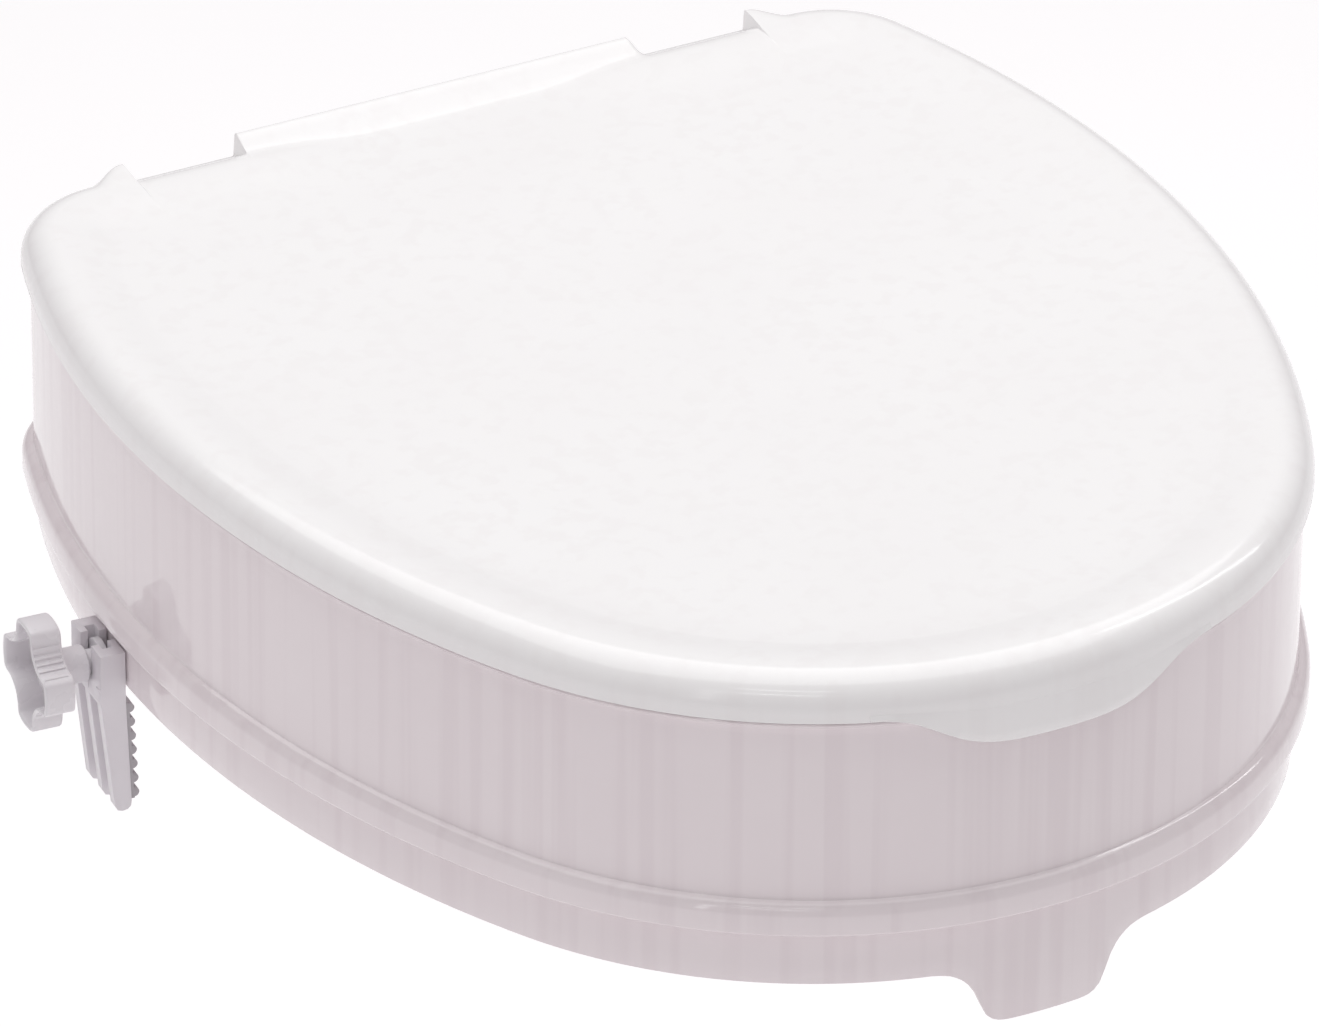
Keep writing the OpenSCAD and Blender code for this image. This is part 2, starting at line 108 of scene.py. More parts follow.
def opening_at(x, y):
    """The point of the opening's edge that lies towards x, y from the middle."""
    a = atan2(y - MIDDLE[1], abs(x))
    lo, hi = opening_polar[0], opening_polar[-1]
    r = lo[1] if a <= lo[0] else hi[1]
    for (a0, r0), (a1, r1) in zip(opening_polar, opening_polar[1:]):
        if a0 <= a <= a1 and a1 > a0:
            r = r0 + (r1 - r0) * (a - a0) / (a1 - a0)
            break
    return (r * cos(a) if x >= 0 else -r * cos(a)), MIDDLE[1] + r * sin(a)


def curve_through(pairs, x):
    """Value at x on the line from point to point through given (x, value) pairs."""
    if x <= pairs[0][0]:
        return pairs[0][1]
    for (x0, v0), (x1, v1) in zip(pairs, pairs[1:]):
        if x <= x1:
            return v0 + (v1 - v0) * (x - x0) / (x1 - x0)
    return pairs[-1][1]


def new_piece(name, verts, faces, crease=32.0):
    """A mesh piece from points in millimetres, smooth except along hard edges."""
    mesh = bpy.data.meshes.new(name)
    mesh.from_pydata([(x * MM, y * MM, z * MM) for x, y, z in verts], [], faces)
    bm = bmesh.new()
    bm.from_mesh(mesh)
    bmesh.ops.remove_doubles(bm, verts=bm.verts, dist=1e-6)
    bmesh.ops.recalc_face_normals(bm, faces=bm.faces)
    bm.to_mesh(mesh)
    bm.free()
    piece = bpy.data.objects.new(name, mesh)
    bpy.context.collection.objects.link(piece)
    mesh.shade_smooth()
    mesh.set_sharp_from_angle(angle=radians(crease))
    return piece


def ring_faces(columns, rows, wrap_rows=True):
    """Quads of a closed band: columns run round it, rows run round its section."""
    faces = []
    for i in range(columns):
        j = (i + 1) % columns
        for k in range(rows if wrap_rows else rows - 1):
            m = (k + 1) % rows
            faces.append((i * rows + k, j * rows + k, j * rows + m, i * rows + m))
    return faces


# Outline of the tongue: how low the skirt reaches at each distance from the middle.
TONGUE = [
    (0, 25.5), (13, 25.5), (15.5, 25.7), (17.5, 26.2), (19.3, 27.2), (20.8, 28.8), (22, 31), (23.2, 34),
    (24.6, 37.4), (26, 40), (28, 42.4), (30.3, 44.2), (33, 45.5), (36, 46.2), (39, 46.5),
]
WALL = 2.6
BEAD_Z, SEAT_Z, SKIRT_Z = 67.0, 143.2, 46.5
BEAD_R, BEAD_IN = 5.4, -1.4
GUARD_Z, EDGE_R = 72.0, 7.0


def body_section(x, y, nx, ny):
    """Closed section of the moulding at one station, as points in space."""
    low = curve_through(TONGUE, abs(x)) if y < -150 else SKIRT_Z
    out = lambda o, z: (x + nx * o, y + ny * o, z)
    qx, qy = opening_at(x, y)
    dx, dy = x - nx * WALL - qx, y - ny * WALL - qy
    across = lambda t, z: (qx + dx * t, qy + dy * t, z)
    length = hypot(dx, dy)
    pts = [out(-3.6, low + 0.5), out(-3.1, low), out(-1.5, low), out(-1.15, low + 0.15), out(-1.0, low + 0.6)]
    pts += [out(-1.0, low + 0.6 + (BEAD_Z - 1.0 - low) * t) for t in (0.3, 0.6, 0.9)]
    pts += [out(-1.0, BEAD_Z - 0.35), out(-0.75, BEAD_Z - 0.05), out(-0.3, BEAD_Z)]
    pts += [out(2.9, BEAD_Z)]
    pts += [out(3.1 + 0.9 * sin(a), BEAD_Z + 0.9 - 0.9 * cos(a)) for a in (0.3, 0.7, 1.15, 1.57)]
    pts += [out(4.0, BEAD_Z + 3.4)]
    for d in range(8, 73, 8):
        pts.append(out(BEAD_IN + BEAD_R * cos(radians(d)), BEAD_Z + 6.2 + BEAD_R * sin(radians(d))))
    pts += [out(0.08, BEAD_Z + 11.75), out(0.0, BEAD_Z + 12.5), out(0.0, BEAD_Z + 14)]
    pts += [out(0.0, z) for z in (90, 100, 110, 120, 130, 138)]
    pts += [out(0.0, 141.2), out(0.1, 141.45), out(0.5, 141.55), out(1.2, 141.7), out(1.55, 142.1)]
    pts += [out(1.55, 142.6), out(1.3, 143.0), out(0.8, SEAT_Z), out(-WALL, SEAT_Z)]
    # The seat falls a little towards the opening, and turns down with a soft edge.
    edge = EDGE_R / length
    for t in (0.92, 0.8, 0.65, 0.5, 0.35, 0.22, 0.12):
        pts.append(across(t, SEAT_Z - 0.35 * sin(pi * t) ** 2))
    for a in (0.2, 0.5, 0.8, 1.1, 1.35, 1.57):
        pts.append(across(edge * (1 - sin(a)), SEAT_Z - EDGE_R * (1 - cos(a))))
    # The splash guard: a wall that hangs from the seat's edge and ends in a round foot.
    pts += [across(0.0, z) for z in (128, 110, 92, 76, GUARD_Z + 0.9)]
    pts += [across(d / length, GUARD_Z + up) for d, up in ((0.4, 0.2), (1.3, 0.0), (2.2, 0.2))]
    pts += [across(WALL / length, z) for z in (GUARD_Z + 0.9, 92, 132)]
    pts += [across(4.0 / length, 138.0), across(8.0 / length, 140.2)]
    pts += [across(t, SEAT_Z - WALL) for t in (0.25, 0.5, 0.75, 0.95)]
    pts += [out(-WALL, z) for z in (139, 120, 100, 80, BEAD_Z)] + [out(-3.6, BEAD_Z - 1)]
    pts += [out(-3.6, BEAD_Z - 1 + (low + 0.5 - BEAD_Z + 1) * t) for t in (0.35, 0.7)]
    return pts


stations = outline([REAR_HALF * i / 24 for i in range(24)])
verts, rows = [], 0
for st in stations:
    section = body_section(*st)
    rows = len(section)
    verts += section
body = new_piece("riser_body", verts, ring_faces(len(stations), rows))


def rgb(code):
    """An sRGB hex colour as linear red, green, blue and alpha."""
    v = [int(code[i:i + 2], 16) / 255 for i in (1, 3, 5)]
    return [c / 12.92 if c <= 0.04045 else ((c + 0.055) / 1.055) ** 2.4 for c in v] + [1.0]


def add(mat, kind, links=(), **settings):
    """Adds one node: settings by socket or property name, links as (socket, source node, output)."""
    n = mat.node_tree.nodes.new(kind)
    for key, value in settings.items():
        name = key.replace("_", " ")
        if hasattr(n, key) and key not in ("location",):
            setattr(n, key, value)
        else:
            found = [s for s in n.inputs if s.name.lower() == name.lower()]
            found[0].default_value = value
    for target, source, output in links:
        sockets = n.inputs if isinstance(target, int) else [s for s in n.inputs if s.name == target]
        mat.node_tree.links.new(sockets[target if isinstance(target, int) else 0], source.outputs[output])
    return n


def finish_material(name, **settings):
    """A new material, its shader with given settings, and its object coordinates."""
    mat = bpy.data.materials.new(name)
    mat.use_nodes = True
    shader = mat.node_tree.nodes["Principled BSDF"]
    for key, value in settings.items():
        shader.inputs[key].default_value = value
    coords = add(mat, "ShaderNodeTexCoord")
    return mat, shader, coords


def wire(mat, shader, socket, source, output=0):
    mat.node_tree.links.new(shader.inputs[socket], source.outputs[output])


# Glossy white polypropylene, moulded in a polished tool: a clear, slightly soft gloss,
# a trace of flow shading, and draw marks a few millimetres wide that run up the wall in roughness and bump,
# with painted reflection streaks along them in the colour.
def moulded_white(name, tint, shade, gloss, draw_marks_and_painted_streaks):
    mat, shader, coords = finish_material(name, **{"IOR": 1.49, "Coat Weight": 0.25, "Coat Roughness": 0.06})
    flow = add(mat, "ShaderNodeTexNoise", [("Vector", coords, "Object")], Scale=1 / 0.060, Detail=3.0)
    mix = add(mat, "ShaderNodeMix", [("Factor", flow, "Fac")], data_type="RGBA")
    mix.inputs[6].default_value = rgb(shade)
    mix.inputs[7].default_value = rgb(tint)
    # Draw marks: noise that is stretched 60 times along the height of the wall.
    stretch = add(mat, "ShaderNodeMapping", [("Vector", coords, "Object")], Scale=(1.0, 1.0, 1 / 60))
    draw = add(mat, "ShaderNodeTexNoise", [("Vector", stretch, "Vector")], Scale=1 / 0.007, Detail=2.0)
    rough = add(mat, "ShaderNodeMapRange", [("Value", draw, "Fac")])
    rough.inputs["From Min"].default_value, rough.inputs["From Max"].default_value = 0.3, 0.7
    rough.inputs["To Min"].default_value, rough.inputs["To Max"].default_value = gloss, gloss + 0.04
    wire(mat, shader, "Roughness", rough)
    # They are also painted into the colour as streaks a shade darker than the rest: painted reflection
    # streaks.
    painted_streak = add(mat, "ShaderNodeMapRange", [("Value", draw, "Fac")])
    painted_streak.inputs["From Min"].default_value, painted_streak.inputs["From Max"].default_value = 0.36, 0.5
    tone = add(mat, "ShaderNodeMix", [("Factor", painted_streak, 0)], data_type="RGBA")
    tone.inputs[6].default_value = [c * (1 - 0.08 * draw_marks_and_painted_streaks) for c in rgb(shade)[:3]] + [1.0]
    mat.node_tree.links.new(tone.inputs[7], mix.outputs[2])
    wire(mat, shader, "Base Color", tone, 2)
    # The skin is not quite flat: waves about 9 mm apart, and draw marks some tens of microns deep.
    skin = add(mat, "ShaderNodeTexNoise", [("Vector", coords, "Object")], Scale=1 / 0.009, Detail=1.0)
    low = add(mat, "ShaderNodeBump", [("Height", skin, "Fac")], Strength=0.05, Distance=0.001)
    high = add(mat, "ShaderNodeBump", [("Height", draw, "Fac"), ("Normal", low, "Normal")],
               Strength=0.3 * draw_marks_and_painted_streaks, Distance=0.001)
    wire(mat, shader, "Normal", high)
    return mat


# The body's rosy grey tint, darker than the lid's, is painted shade: body and lid are the same white plastic.
body_white_painted_shade = moulded_white("moulded_white_body_painted_shade", "#f4ecee", "#eee4e7", 0.05, 0.14)
body.data.materials.append(body_white_painted_shade)
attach(body, "base")
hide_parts("seat_body")

# Inside the body: shallow webs under the seat, four tubes that carry it on the rim pads,
# and a block at each clamp that guides the bracket. All are part of the same moulding;
# the webs are 2 mm thick and taper towards their free edge so that they leave the tool.


def prism(base, top):
    """Closed solid between two like polygons, given as points in space."""
    n = len(base)
    faces = [tuple(range(n))[::-1], tuple(range(n, 2 * n))]
    faces += [(i, (i + 1) % n, n + (i + 1) % n, n + i) for i in range(n)]
    return list(base) + list(top), faces


def gather(parts):
    """Joins (points, faces) lists into one."""
    verts, faces = [], []
    for v, f in parts:
        base = len(verts)
        verts += v
        faces += [tuple(base + i for i in g) for g in f]
    return verts, faces


def lathe(place, profile, steps=48):
    """Closed turned solid: profile pairs of radius and height, put in space by place."""
    verts = []
    for i in range(steps):
        a = 2 * pi * i / steps
        verts += [place(r * cos(a), r * sin(a), h) for r, h in profile]
    return verts, ring_faces(steps, len(profile), wrap_rows=False)


def outline_at(angle, off):
    """Point of the wall at a bearing from the seat's origin, moved in by off."""
    best = min(stations, key=lambda s: abs(atan2(s[1], s[0]) - angle))
    return best[0] - best[2] * off, best[1] - best[3] * off


WEB_TOP, WEB_LOW = 141.2, 126.0
parts = []
for i in range(12):
    a = radians(15 + 30 * i)
    a = atan2(sin(a), cos(a))
    ox, oy = outline_at(a, 1.6)
    reach = hypot(ox, oy)
    far = lambda t: (reach * cos(a) * t, reach * sin(a) * t)
    qx, qy = opening_at(cos(a) * 150, sin(a) * 150)
    near = (hypot(qx, qy) + 1.6) / reach
    side = (-sin(a), cos(a))
    top, low = [], []
    web = [(near, WEB_TOP, 1.1), (1.0, WEB_TOP, 1.1), (1.0, WEB_LOW + 1.0, 0.8), (0.99, WEB_LOW, 0.7)]
    web += [(near + 0.02, WEB_LOW, 0.7), (near, WEB_LOW + 1.0, 0.8)]
    for t, z, w in web:
        px, py = far(t)
        top.append((px + side[0] * w, py + side[1] * w, z))
        low.append((px - side[0] * w, py - side[1] * w, z))
    parts.append(prism(low, top))
PADS = [(126, 118), (-126, 118), (96, -128), (-96, -128)]
for px, py in PADS:
    parts.append(lathe(
        lambda u, v, h, px=px, py=py: (px + u, py + v, h),
        [(8.4, 136), (8.4, 51.2), (8.9, 50.6), (10.4, 50.5), (11, 51.2), (11, 136), (12.2, 139.5), (14, 141),
         (8.4, 141), (0.01, 141), (0.01, 136), (8.4, 136)]))


SCREW_Z, PEG_Z, PEG_V = 51.3, 53.8, 9


def clamp_place(side):
    """Turns clamp measures (out from the wall, towards the front, up) into places."""
    turn = radians(4.5)
    cx = -side_c[0] - SIDE_R * cos(turn)
    cy = side_c[1] + SIDE_R * sin(turn)

    def place(u, v, z):
        x = cx - u * cos(turn) - v * sin(turn)
        y = cy + u * sin(turn) - v * cos(turn)
        return (x if side == "left" else -x), y, z
    return place


inner = [new_piece("inner_parts", *gather(parts))]
for side in ("left", "right"):
    at = clamp_place(side)
    ring = [(-15, 48.6), (-14.4, 48), (14.4, 48), (15, 48.6)]
    ring += [(15, 73.9), (14.4, 74.5), (-14.4, 74.5), (-15, 73.9)]
    block = new_piece(
        "clamp_block_" + side,
        *prism([at(-21, v, z) for v, z in ring], [at(-2.5, v, z) for v, z in ring]), crease=30)
    # Bores for the screw and the two guide pegs, and the pocket that holds the nut.
    cutters = []
    for v, z, r in ((0, SCREW_Z, 3.5), (PEG_V, PEG_Z, 2.9), (-PEG_V, PEG_Z, 2.9)):
        cutters.append(lathe(
            lambda a, b, h, v=v, z=z, at=at: at(h, v + a, z + b),
            [(0.01, -30), (r, -30), (r, 6), (0.01, 6)], 40))
    hexagon = [(5.9 * cos(radians(60 * k)), 5.9 * sin(radians(60 * k))) for k in range(6)]
    cutters.append(prism(
        [at(-14, b, SCREW_Z + c) for c, b in hexagon], [at(-8.8, b, SCREW_Z + c) for c, b in hexagon]))
    inner.append((block, cutters))


def cut_away(piece, cutter_parts, crease=32.0):
    """Takes closed solids away from a piece, and keeps its soft shading."""
    for part in cutter_parts:
        tool = new_piece("tool", *part)
        cut = piece.modifiers.new("cut", "BOOLEAN")
        cut.operation, cut.solver, cut.object = "DIFFERENCE", "EXACT", tool
        bpy.context.view_layer.update()
        done = bpy.data.meshes.new_from_object(piece.evaluated_get(bpy.context.evaluated_depsgraph_get()))
        piece.modifiers.clear()
        piece.data = done
        bpy.data.objects.remove(tool)
    piece.data.shade_smooth()
    piece.data.set_sharp_from_angle(angle=radians(crease))


for block, cutters in inner[1:]:
    cut_away(block, cutters)
for piece in inner[:1] + [block for block, cutters in inner[1:]]:
    piece.data.materials.append(body_white_painted_shade)
    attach(piece, "base")

# ---- Rim pads -----------------------------------------------------------------------
# Grey rubber feet pushed up into the four tubes. They rest on the china rim of the bowl,
# so their faces are ribbed in rings for grip and their edges are rounded.


def soft_rubber(name, dark, light):
    # Moulded rubber: dull, a little uneven in tone, with a fine matt grain of about 0.6 mm.
    mat, shader, coords = finish_material(name, **{"IOR": 1.52, "Specular IOR Level": 0.35})
    grain = add(mat, "ShaderNodeTexNoise", [("Vector", coords, "Object")], Scale=1 / 0.0006, Detail=2.0)
    bloom = add(mat, "ShaderNodeTexNoise", [("Vector", coords, "Object")], Scale=1 / 0.011, Detail=3.0)
    mix = add(mat, "ShaderNodeMix", [("Factor", bloom, "Fac")], data_type="RGBA")
    mix.inputs[6].default_value, mix.inputs[7].default_value = rgb(dark), rgb(light)
    wire(mat, shader, "Base Color", mix, 2)
    rough = add(mat, "ShaderNodeMapRange", [("Value", bloom, "Fac")])
    rough.inputs["To Min"].default_value, rough.inputs["To Max"].default_value = 0.5, 0.72
    wire(mat, shader, "Roughness", rough)
    bump = add(mat, "ShaderNodeBump", [("Height", grain, "Fac")], Strength=0.25, Distance=0.0002)
    wire(mat, shader, "Normal", bump)
    return mat


pad_rubber = soft_rubber("rubber_pad_grey", "#aaa7aa", "#b7b4b7")
parts = []
for px, py in PADS:
    face = [(0.01, 46.5)]
    for r in (2, 4, 6, 8, 10):
        face += [(r - 0.7, 46.5), (r - 0.4, 46.05), (r + 0.4, 46.05), (r + 0.7, 46.5)]
    parts.append(lathe(
        lambda u, v, h, px=px, py=py: (px + u, py + v, h),
        face + [(11.3, 46.4), (11.8, 46.7), (12, 47.2), (12, 49.7), (11.7, 50.3), (11, 50.5), (8.4, 50.5),
                (8.4, 55.6), (7.8, 56.4), (0.01, 56.4)]))
pads = new_piece("rim_feet", *gather(parts))
pads.data.materials.append(pad_rubber)
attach(pads, "base")
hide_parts("rim_pads")

# ---- Hinge blocks and their screws ----------------------------------------------------
# Two white moulded eyes on the rear wall, each held by two pan head screws driven from
# inside. The corners are broken by about half a millimetre, as moulded parts are.


def eased(node, name, ease, body, material, crease=32.0):
    """A copy of a CAD node with its sharp corners rounded over, which stands for the node."""
    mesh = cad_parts[node].data.copy()
    mesh.materials.clear()
    mesh.name = name
    bm = bmesh.new()
    bm.from_mesh(mesh)
    bmesh.ops.remove_doubles(bm, verts=bm.verts, dist=2e-6)
    bmesh.ops.dissolve_limit(bm, angle_limit=radians(0.6), verts=bm.verts, edges=bm.edges)
    bm.to_mesh(mesh)
    bm.free()
    piece = bpy.data.objects.new(name, mesh)
    bpy.context.collection.objects.link(piece)
    soften = piece.modifiers.new("ease", "BEVEL")
    soften.width, soften.segments, soften.limit_method = ease * MM, 2, "ANGLE"
    soften.angle_limit, soften.use_clamp_overlap = radians(34), True
    bpy.context.view_layer.update()
    done = bpy.data.meshes.new_from_object(piece.evaluated_get(bpy.context.evaluated_depsgraph_get()))
    piece.modifiers.clear()
    piece.data = done
    done.shade_smooth()
    done.set_sharp_from_angle(angle=radians(crease))
    done.materials.append(material)
    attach(piece, body)
    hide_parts(node)
    return piece


for side in ("left", "right"):
    eased("hinge_block_" + side, "hinge_eye_" + side, 0.5, "base", body_white_painted_shade)


def plated_steel(name, code, rough_low, rough_high, lay):
    # Zinc plated or drawn steel: bright, with fine lines along or round the part from making.
    mat, shader, coords = finish_material(name, Metallic=1.0)
    stretch = add(mat, "ShaderNodeMapping", [("Vector", coords, "Object")], Scale=lay)
    lines = add(mat, "ShaderNodeTexNoise", [("Vector", stretch, "Vector")], Scale=1 / 0.0005, Detail=2.0)
    tone = add(mat, "ShaderNodeTexNoise", [("Vector", coords, "Object")], Scale=1 / 0.006, Detail=2.0)
    mix = add(mat, "ShaderNodeMix", [("Factor", tone, "Fac")], data_type="RGBA")
    mix.inputs[6].default_value = rgb(code)
    mix.inputs[7].default_value = [c * 0.82 for c in rgb(code)[:3]] + [1.0]
    wire(mat, shader, "Base Color", mix, 2)
    rough = add(mat, "ShaderNodeMapRange", [("Value", lines, "Fac")])
    rough.inputs["To Min"].default_value, rough.inputs["To Max"].default_value = rough_low, rough_high
    wire(mat, shader, "Roughness", rough)
    bump = add(mat, "ShaderNodeBump", [("Height", lines, "Fac")], Strength=0.2, Distance=0.0001)
    wire(mat, shader, "Normal", bump)
    return mat


HINGE_Y, HINGE_Z, BLOCK_X = 207.5, 151.5, 51.0
zinc = plated_steel("zinc_plated_steel", "#c9cacd", 0.24, 0.42, (1.0, 1.0, 0.1))
parts, slots_cut = [], []
for s in (-1, 1):
    for z in (118, 132):
        parts.append(lathe(
            lambda a, b, h, s=s, z=z: (s * BLOCK_X + a, 200.9 + h, z + b),
            [(0.01, 0.0), (1.6, 0.02), (2.6, 0.22), (3.3, 0.75), (3.6, 1.5), (3.6, 2.0), (1.6, 2.0),
             (1.6, 7.1), (1.2, 7.6), (0.01, 7.6)], 40))
        for w, d in ((2.1, 0.4), (0.4, 2.1)):
            ring = [(-w, -d), (w, -d), (w, d), (-w, d)]
            slots_cut.append(prism(
                [(s * BLOCK_X + a, 200.5, z + b) for a, b in ring],
                [(s * BLOCK_X + a * 0.6, 202.1, z + b * 0.6) for a, b in ring]))
screws = new_piece("hinge_block_screws", *gather(parts))
cut_away(screws, slots_cut)
screws.data.materials.append(zinc)
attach(screws, "base")
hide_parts("hinge_screws")

# ---- Lid --------------------------------------------------------------------------------
# A second white moulding, a plate about 2.5 mm thick. Its edge rolls over into a thick
# round rim. Along the rear the edge is upright: it is scooped out low on both sides of the
# hinge, with a ridge over it. A lip under the front edge takes a finger.

LID_Z, LID_OVER, LID_R = 144.0, 3.0, 11.5
RIM_X, RIM_Z = LID_OVER - LID_R, 146.8
TOP_Z, PLATE_Z = 158.3, 155.3
NOTCH_HALF, RIDGE_HALF, RIDGE_Z = 117.5, 76.0, 160.6
INSETS = [-10.5, -12.5, -15, -17.5, -20, -22.5, -25, -27]


def ease_in(t):
    t = min(1.0, max(0.0, t))
    return t * t * (3 - 2 * t)


def rim_height(o):
    """Top of the lid beside the round rim, at a distance in from the wall."""
    return TOP_Z - (TOP_Z - PLATE_Z) * ease_in((RIM_X - o) / 26.0)


# The scoop: from its low rear edge the surface climbs to a soft crest and runs out into the plate.
SCOOP = [(1.4, 152.4), (0.4, 152.7), (-1, 153.5), (-2.5, 154.5), (-4, 155.5), (-5.5, 156.4), (-7, 157.1),
         (-9, 157.55), (-12, 157.7), (-17, 157.35), (-22, 156.7), (-27, 156.0), (-34, 155.45), (-43, 155.3)]


def scoop_height(o):
    return curve_through([(-a, z) for a, z in SCOOP], -o)


def ridge_height(o, x):
    """The ridge falls forward at 27 degrees; in the middle it runs right down to the plate."""
    slope = RIDGE_Z - 0.5 * max(0.0, 0.9 - o)
    base = scoop_height(o)
    base += (PLATE_Z - base) * ease_in((RIDGE_HALF - 2.0 - abs(x)) / 44.0)
    # A soft hollow of about 10 mm where the slope meets the plate.
    d = slope - base
    return base + (d + sqrt(d * d + 0.5)) / 2 if o < -2.5 else slope


def edge_rows(kind, x=0.0):
    """Outer surface from the lower edge over the top, as (distance out, height) pairs."""
    pts = [(LID_OVER - 2.2, LID_Z + 0.15), (LID_OVER - 1.9, LID_Z), (LID_OVER - 0.55, LID_Z)]
    pts += [(LID_OVER - 0.15, LID_Z + 0.15), (LID_OVER, LID_Z + 0.55)]
    if kind == "rim":
        pts += [(RIM_X + LID_R * cos(radians(a)), RIM_Z + LID_R * sin(radians(a)))
                for a in (-8, 2, 12, 22, 31, 40, 48, 56, 64, 71, 77, 83, 87, 90)]
        pts += [(o, rim_height(o)) for o in INSETS]
    elif kind == "scoop":
        pts += [(LID_OVER, z) for z in (145.8, 147.6, 149.6, 150.8)]
        pts += [(2.95, 151.4), (2.7, 151.9), (2.2, 152.25)]
        pts += [(o, scoop_height(o)) for o in (1.2, -0.2, -1.6, -3.0, -4.6, -6.4, -8.4)]
        pts += [(o, scoop_height(o)) for o in INSETS]
    elif kind == "upright":
        pts += [(LID_OVER, z) for z in (147, 150, 153, 156, 158.2)]
        pts += [(2.93, 158.8), (2.65, 159.3), (2.2, 159.55), (1.6, 159.6)]
        pts += [(0.2, 159.55), (-1.8, 159.4), (-3.6, 159.2), (-5.6, 158.95), (-8.2, 158.5)]
        pts += [(o, rim_height(o)) for o in INSETS]
    else:
        pts += [(LID_OVER, z) for z in (147, 150.5, 154, 157.5, 159.5)]
        pts += [(2.93, 159.95), (2.7, 160.3), (2.3, 160.52), (1.7, RIDGE_Z)]
        pts += [(o, ridge_height(o, x)) for o in (0.4, -1.8, -3.8, -6.0, -8.4)]
        pts += [(o, ridge_height(o, x)) for o in INSETS]
    return pts


KINDS = ("rim", "upright", "scoop", "ridge")
EDGE = {kind: edge_rows(kind) for kind in KINDS}


def kind_weights(x, y):
    """How much of the rim, upright, scoop and ridge sections a station has."""
    if y < REAR_Y - 0.01:
        return 1.0, 0.0, 0.0, 0.0
    ax = abs(x)
    outside = ease_in((ax - (NOTCH_HALF - 0.25)) / 0.5)
    round_part = ease_in((ax - NOTCH_HALF - 1.0) / (REAR_HALF - NOTCH_HALF - 1.0))
    # The ridge ends in a soft slope on the right and in a sharp step on the left.
    ridge = ease_in((RIDGE_HALF + 0.6 - ax) / (5.2 if x > 0 else 0.8))
    inside = 1 - outside
    return outside * round_part, outside * (1 - round_part), inside * (1 - ridge), inside * ridge


def dish(x, y):
    """The wide shallow dish in the middle of the lid."""
    d = hypot(x, (y + 12) / 1.22)
    return -0.7 * ease_in((124.0 - d) / 46.0)


def plate_height(x, y):
    return PLATE_Z + dish(x, y)


# Stations along the rear edge, close together where the ridge and the scoop end.
rear_xs = [6 * i for i in range(12)]
rear_xs += [69.5, 71, 71.8, 72.6, 73.4, 74.2, 75, 75.6, 75.9, 76.2, 76.5, 76.9, 78, 80]
rear_xs += [84, 89, 94, 99, 104, 109, 113, 115.5, 116.6, 117.1, 117.3, 117.45, 117.6, 117.75, 118, 118.8]
rear_xs += [120 + 1.5 * i for i in range(8)]
lid_stations = outline(rear_xs, 30, 56, 96)
CENTRE = (0.0, -2.0)
PLATE, RIM_UNDER = 2.5, 155.6
SPOKES = [0.08, 0.17, 0.27, 0.37, 0.47, 0.57, 0.67, 0.77, 0.86, 0.94]
top_rows, verts = 0, []
for x, y, nx, ny in lid_stations:
    w = kind_weights(x, y)
    out = lambda o, z: (x + nx * o, y + ny * o, z)
    column = []
    if w[3] > 0:
        EDGE["ridge"] = edge_rows("ridge", x)
    for k in range(len(EDGE["rim"])):
        o = sum(wt * EDGE[kind][k][0] for wt, kind in zip(w, KINDS))
        z = sum(wt * EDGE[kind][k][1] for wt, kind in zip(w, KINDS))
        px, py, pz = out(o, z)
        column.append((px, py, pz + (dish(px, py) if o < RIM_X else 0.0)))
    bx, by = column[-1][0], column[-1][1]
    for t in SPOKES:
        px, py = bx + (CENTRE[0] - bx) * t, by + (CENTRE[1] - by) * t
        column.append((px, py, plate_height(px, py)))
    top_rows = len(column)
    # Underside: the same plate 2.5 mm lower, and the hollow of the rim.
    for t in SPOKES[::-1]:
        px, py = bx + (CENTRE[0] - bx) * t, by + (CENTRE[1] - by) * t
        column.append((px, py, plate_height(px, py) - PLATE))
    solid = w[0] + w[1]
    for o in (-27, -25.5):
        column.append(out(o, PLATE_Z - 2.2))
    hollow = [(o, min(RIM_UNDER, rim_height(o) - PLATE)) for o in (-24, -18, -12)]
    for a in (85, 70, 55, 40, 25, 10):
        hollow.append((RIM_X + (LID_R - PLATE) * cos(radians(a)), RIM_Z + (LID_R - PLATE) * sin(radians(a))))
    for ro, rz in hollow:
        lo = min(ro, 0.5)
        lz = min(scoop_height(lo) - 2.6, rz, PLATE_Z - 2.2 if w[3] > 0 else rz)
        column.append(out(solid * ro + (1 - solid) * lo, solid * rz + (1 - solid) * lz))
    column.append(out(0.8, 145.2))
    verts += column
rows = len(column)
faces = []
n = len(lid_stations)
for i in range(n):
    j = (i + 1) % n
    for k in range(rows - 1):
        if k == top_rows - 1:
            continue
        faces.append((i * rows + k, j * rows + k, j * rows + k + 1, i * rows + k + 1))
    faces.append((i * rows + rows - 1, j * rows + rows - 1, j * rows, i * rows))
verts.append((CENTRE[0], CENTRE[1], PLATE_Z + dish(*CENTRE)))
verts.append((CENTRE[0], CENTRE[1], PLATE_Z - PLATE))
for i in range(n):
    j = (i + 1) % n
    faces.append((i * rows + top_rows - 1, j * rows + top_rows - 1, n * rows))
    faces.append((j * rows + top_rows, i * rows + top_rows, n * rows + 1))
lid = new_piece("lid_plate", verts, faces, crease=38)

